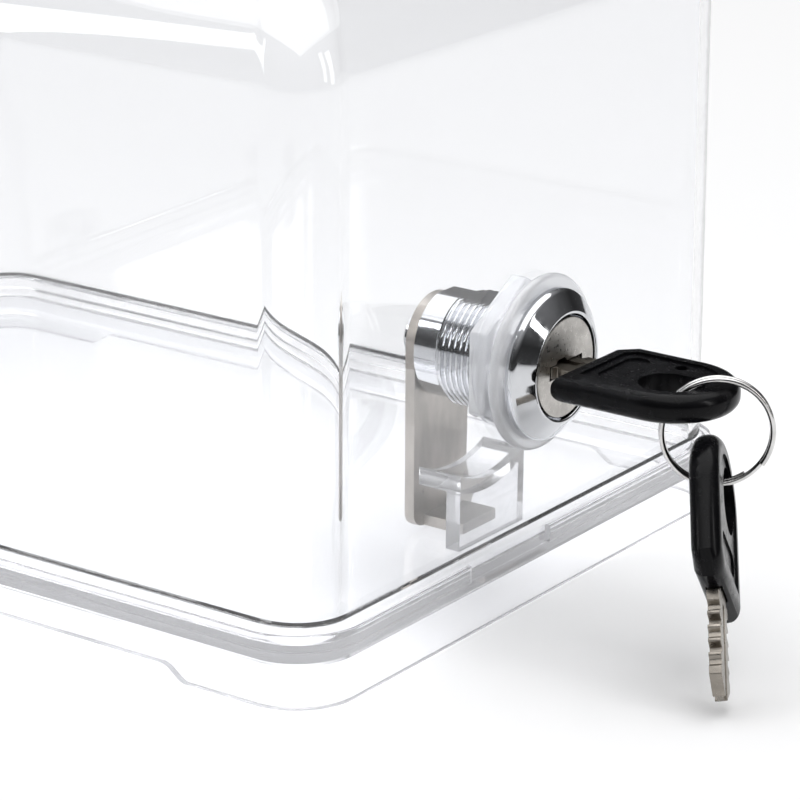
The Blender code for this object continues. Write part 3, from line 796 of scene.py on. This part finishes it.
def make_plug():
    """Plug face with a softened rim and the warded keyway."""
    profile = [(0.0, 5.5), (7.3, 5.5), (7.55, 5.42), (7.65, 5.2), (7.65, 4.4), (6.0, 4.4),
               (6.0, -17.2), (0.0, -17.2)]
    plug = turned("lock_plug_fine", profile)
    half = CAM_SQUARE / 2 - GAP
    join(plug, box("square", (LOCK_X - 19.6 * MM, -half, LOCK_Z - half),
                   (LOCK_X - 16.2 * MM, half, LOCK_Z + half)))
    cut(plug, plate("keyway", [keyway_outline()], 18 * MM, lock_plane_at(0.0)))
    cut(plug, cylinder("screw_hole", SCREW_HOLE_RADIUS, (LOCK_X - 30 * MM, 0, LOCK_Z),
                       (LOCK_X - 13 * MM, 0, LOCK_Z)))
    return finish_piece(plug, PLUG_METAL, "plug", ["lock_plug"], 35.0)


def make_clear_washer():
    profile = [(9.3, 0.35), (9.3, 1.85), (12.6, 1.9), (13.1, 1.75), (13.35, 1.4), (13.4, 1.1),
               (13.35, 0.8), (13.1, 0.45), (12.8, 0.35)]
    washer = turned("clear_washer_fine", profile, closed=True)
    return finish_piece(washer, MILKY, "cover", ["clear_washer"], 40.0)


def make_nut():
    """Hexagon nut with chamfered corners."""
    hexagon = arc((0, 0), NUT_CORNER_RADIUS, 30, 330, 5)
    hole = arc((0, 0), BARREL_RADIUS + GAP, 0, 355, 71)
    place = lock_plane_at(-WALL - NUT_MIDDLE)
    nut = plate("lock_nut_fine", [hexagon, hole], NUT_THICK, place)
    bevel(nut, 0.45 * MM, 3)
    return finish_piece(nut, MILKY, "cover", ["lock_nut"], 40.0)


def make_cam():
    """The cam's plate with its tip bent in under the catch's flange."""
    foot = CAM_FOOT_RADIUS
    outline = arc((0, 0), CAM_TOP_RADIUS, 10, 170, 40)
    outline += arc((-CAM_HALF_WIDTH + foot, -CAM_REACH + foot), foot, 180, 270, 12)
    outline += arc((CAM_HALF_WIDTH - foot, -CAM_REACH + foot), foot, 270, 360, 12)
    half = CAM_SQUARE / 2
    hole = [(half, half), (-half, half), (-half, -half), (half, -half)]
    cam = plate("cam_fine", [outline, hole], CAM_FRONT - CAM_BACK,
                lock_plane_at((CAM_FRONT + CAM_BACK) / 2))
    tip_z = LOCK_Z - CAM_REACH
    tip = box("cam_tip", (LOCK_X + CAM_BACK + 0.4 * MM, -CAM_TIP_HALF_WIDTH, tip_z + 0.05 * MM),
              (LOCK_X + CAM_TIP_END, CAM_TIP_HALF_WIDTH, tip_z + 1.75 * MM))
    join(cam, tip)
    bevel(cam, 0.22 * MM, 3)
    return finish_piece(cam, CAM_METAL, "plug", ["cam"], 40.0)


# ---------------------------------------------------------------- keys and ring

def head_outline(inset=0.0):
    """The head's edge: round by the ring, and one corner cut off by the blade."""
    w, length = HEAD_HALF_WIDTH - inset, HEAD_LENGTH - inset
    start = HEAD_START + inset
    corner_x, corner_drop = 3.6 * MM, 3.0 * MM
    round_end = arc((length - w, 0), w, -90, 90, 48)
    return [(start, -w), *round_end, (corner_x + 0.5 * inset, w),
            (start, w - corner_drop + 0.5 * inset)]


def make_head_blank(name, place):
    """The head before its holes: its rim is rounded from face to face."""
    flat_half = HEAD_THICK / 2 - HEAD_RIM
    steps = 8
    shape = bmesh.new()
    rings = []
    for i in range(-steps, steps + 1):
        level = math.pi / 2 * (i / steps)
        side = (i > 0) - (i < 0)
        inset = HEAD_RIM * (1.0 - math.cos(level))
        z = flat_half * side + HEAD_RIM * math.sin(level)
        rings.append([shape.verts.new(place @ Vector((x, y, z))) for x, y in head_outline(inset)])
    skin(shape, rings)
    cap_ends(shape, rings)
    return solid(name, shape)


def hole_outline():
    """The ring's hole: two half rounds and the short straights between them."""
    steps = 28
    right = arc((HOLE_TO, HOLE_Y), HOLE_RADIUS, -90, 90, steps)
    left = arc((HOLE_FROM, HOLE_Y), HOLE_RADIUS, 90, 270, steps)
    return right + left


def stadium(x, low_y, high_y, radius):
    """A slot across the head with round ends; the numbers are in mm."""
    steps = 14
    upper = arc((x * MM, (high_y - 0.5 * radius) * MM), radius * MM, 0, 180, steps)
    lower = arc((x * MM, (low_y + 0.5 * radius) * MM), radius * MM, 180, 360, steps)
    return upper + lower


def blade_outline():
    """Tang, shoulder, then a blade with sloping cuts on both edges and a pointed tip."""
    w = BLADE_HALF_WIDTH
    tip = -BLADE_LENGTH
    first_cut, spacing = -2.4 * MM, 2.1 * MM
    cut_half, root_half = 0.8 * MM, 0.35 * MM
    edge = []
    for i, depth in enumerate((0.9, 1.5, 0.7, 1.3, 0.5)):
        centre = first_cut - i * spacing
        edge += [(centre + cut_half, w), (centre + root_half, w - depth * MM),
                 (centre - root_half, w - depth * MM), (centre - cut_half, w)]
    edge += [(tip + 2.2 * MM, w), (tip, 1.1 * MM)]
    other = [(x, -y) for x, y in reversed(edge)]
    tang = [(0.0, -w), *rectangle(0.0, -TANG_HALF_WIDTH, TANG_LENGTH, TANG_HALF_WIDTH), (0.0, w)]
    return edge + other + tang


def make_key(prefix, place, body):
    """A key whose +X runs from the blade to the head's ring end."""
    head = make_head_blank(f"{prefix}_head_fine", place)
    cut(head, plate("ring_hole", [hole_outline()], 2 * HEAD_THICK, place))
    half = HEAD_THICK / 2
    for side in (1, -1):
        face = place @ Matrix.Translation((0, 0, side * half))
        cut(head, plate("sunk_face", [head_outline(3.0 * MM)], 0.7 * MM, face))
        cut(head, plate("panel", [stadium(6.9, -4.6, 4.6, 1.9)], 1.3 * MM, face))
        cut(head, plate("blind_slot", [stadium(13.6, 4.6, 5.6, 1.0)], 2.4 * MM, face))
    pocket = rectangle(-MM, -2.9 * MM, 8.4 * MM, 2.9 * MM)
    cut(head, plate("pocket", [pocket], BLADE_THICK + 2 * GAP, place))
    blade = plate(f"{prefix}_blade_fine", [blade_outline()], BLADE_THICK, place)
    for side in (1, -1):
        milled = rectangle(-BLADE_LENGTH - MM, -0.9 * MM, -0.8 * MM, 0.7 * MM)
        face = place @ Matrix.Translation((0, 0, side * BLADE_THICK / 2))
        cut(blade, plate("milled", [milled], 0.9 * MM, face))
    bevel(blade, 0.08 * MM, 2)
    finish_piece(head, BLACK, body, [f"{prefix}_head"], 40.0)
    finish_piece(blade, BLADE_METAL, body, [f"{prefix}_blade"], 40.0)


def spare_key_place():
    """The spare key hangs from the ring's lowest point, turned and leaning out."""
    tangent = Vector((math.cos(RING_TURNED), math.sin(RING_TURNED), 0.0))
    outward = Vector((math.sin(RING_TURNED), -math.cos(RING_TURNED), 0.0))
    down = Vector((0.0, 0.0, -1.0))
    along = -(down * math.cos(SPARE_LEAN) + outward * math.sin(SPARE_LEAN))
    normal = Matrix.Rotation(SPARE_ROLL - math.pi / 2, 3, along) @ tangent
    across = normal.cross(along)
    turn = Matrix((along, across, normal)).transposed()
    wire = Vector((HOLE_TO + HOLE_RADIUS - WIRE_TO_WEB, HOLE_Y, 0.0))
    lowest = RING_CENTRE - Vector((0.0, 0.0, RING_RADIUS))
    return Matrix.Translation(lowest - turn @ wire) @ turn.to_4x4()


def make_ring():
    """Nearly two turns of polished wire lying side by side."""
    steps, sides = 300, 16
    place = Matrix.Translation(RING_CENTRE) @ Matrix.Rotation(RING_TURNED, 4, "Z")
    shape = bmesh.new()
    rings = []
    for i in range(steps + 1):
        t = i / steps
        angle = RING_START + 2 * math.pi * RING_TURNS * t
        out = Vector((math.cos(angle), 0.0, math.sin(angle)))
        sideways = RING_PITCH * (RING_TURNS * t - RING_TURNS / 2)
        centre = out * RING_RADIUS + Vector((0.0, sideways, 0.0))
        ring = []
        for k in range(sides):
            a = 2 * math.pi * k / sides
            across = Vector((0.0, WIRE_RADIUS * math.sin(a), 0.0))
            ring.append(shape.verts.new(place @ (centre + out * (WIRE_RADIUS * math.cos(a))
                                                 + across)))
        rings.append(ring)
    skin(shape, rings)
    for end in (rings[0], rings[-1]):
        shape.faces.new(end)
    ring = solid("split_ring_fine", shape)
    return finish_piece(ring, WIRE_METAL, "ring", ["split_ring"], 45.0)


# ---------------------------------------------------------------- what stays from the frame

def dress_cad_nodes():
    """New materials for the pieces that keep their CAD shape."""
    finishes = {"cam_screw": CHROME, "cam_washer": CAM_METAL}
    for i in range(1, 6):
        finishes[f"wafer_{i}"] = BRASS
    for name, material in finishes.items():
        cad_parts[name].data.materials.clear()
        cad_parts[name].data.materials.append(material)


# ---------------------------------------------------------------- stage, light, camera

def make_floor():
    """A pale floor just under the object."""
    shape = bmesh.new()
    bmesh.ops.create_grid(shape, x_segments=1, y_segments=1, size=FLOOR_HALF)
    bmesh.ops.translate(shape, verts=shape.verts, vec=(0, 0, cad_low.z - FLOOR_DROP))
    floor = from_bmesh("floor", shape)
    nodes = Nodes("pale_floor")
    nodes.base((0.93, 0.93, 0.93), 0.6, Specular_IOR_Level=0.1)
    floor.data.materials.append(nodes.material)


def area_light(name, place, target, size, power):
    """A rectangular lamp in watts, with sizes and places in metres."""
    data = bpy.data.lights.new(name, "AREA")
    data.shape = "RECTANGLE"
    data.size, data.size_y = size
    data.energy = power
    light = new_object(name, data)
    light.location = place
    light.rotation_mode = "QUATERNION"
    light.rotation_quaternion = (Vector(target) - Vector(place)).to_track_quat("-Z", "Y")


def make_light():
    """Bright-field studio: a large soft box lights the floor to white under a dark surround."""
    world = bpy.data.worlds.new("studio")
    bpy.context.scene.world = world
    world.use_nodes = True
    tree = world.node_tree
    background = tree.nodes["Background"]
    coordinates = tree.nodes.new("ShaderNodeTexCoord")
    height = tree.nodes.new("ShaderNodeSeparateXYZ")
    tree.links.new(coordinates.outputs["Generated"], height.inputs[0])
    ramp = tree.nodes.new("ShaderNodeValToRGB")
    stops = ((0.0, 0.06), (0.25, 0.03), (0.45, 0.10), (0.7, 0.35), (1.0, 0.6))
    ramp.color_ramp.elements[0].position = stops[0][0]
    ramp.color_ramp.elements[1].position = stops[-1][0]
    for position, _ in stops[1:-1]:
        ramp.color_ramp.elements.new(position)
    for element, (position, value) in zip(ramp.color_ramp.elements, stops):
        element.position = position
        element.color = (value, value, 1.02 * value, 1.0)
    tree.links.new(height.outputs["Z"], ramp.inputs["Fac"])
    tree.links.new(ramp.outputs["Color"], background.inputs["Color"])
    background.inputs["Strength"].default_value = 1.0
    centre = ((cad_low + cad_high) / 2)[:]
    area_light("overhead_box", (-0.1, 0.2, 1.3), (-0.1, 0.2, 0.0), (1.9, 1.9), 19.5)
    area_light("left_strip", (-0.75, -0.85, 0.55), centre, (0.12, 0.8), 1.6)
    area_light("right_strip", (1.0, 0.15, 0.5), centre, (0.14, 0.7), 1.6)


def make_camera():
    """Looks at a point a little to the left of the lock's bezel and below it."""
    data = bpy.data.cameras.new("camera")
    data.sensor_width = VIEW_SENSOR
    data.lens = VIEW_LENS
    data.clip_start = 0.01
    camera = new_object("camera", data)
    a, e = VIEW_AZIMUTH, VIEW_ELEVATION
    look = Vector((-math.sin(a) * math.cos(e), math.cos(a) * math.cos(e), -math.sin(e)))
    right = Vector((math.cos(a), math.sin(a), 0.0))
    up = right.cross(look)
    right, up = (math.cos(VIEW_ROLL) * right + math.sin(VIEW_ROLL) * up,
                 -math.sin(VIEW_ROLL) * right + math.cos(VIEW_ROLL) * up)
    bezel = Vector((LOCK_X + BEZEL_MIDDLE, 0.0, LOCK_Z))
    aim = bezel - right * AIM_LEFT - up * AIM_DOWN
    camera.matrix_world = Matrix.Translation(aim - look * VIEW_DISTANCE) @ Matrix(
        (right, up, -look)).transposed().to_4x4()
    bpy.context.scene.camera = camera


make_camera()
make_light()
make_floor()
make_cover()
make_base()
make_bezel()
make_barrel()
make_plug()
make_clear_washer()
make_nut()
make_cam()
make_key("key", Matrix.Translation((KEY_X, 0.0, LOCK_Z)), "key")
make_key("spare_key", spare_key_place(), "spare_key")
make_ring()
dress_cad_nodes()
bpy.context.scene.view_settings.view_transform = "Standard"
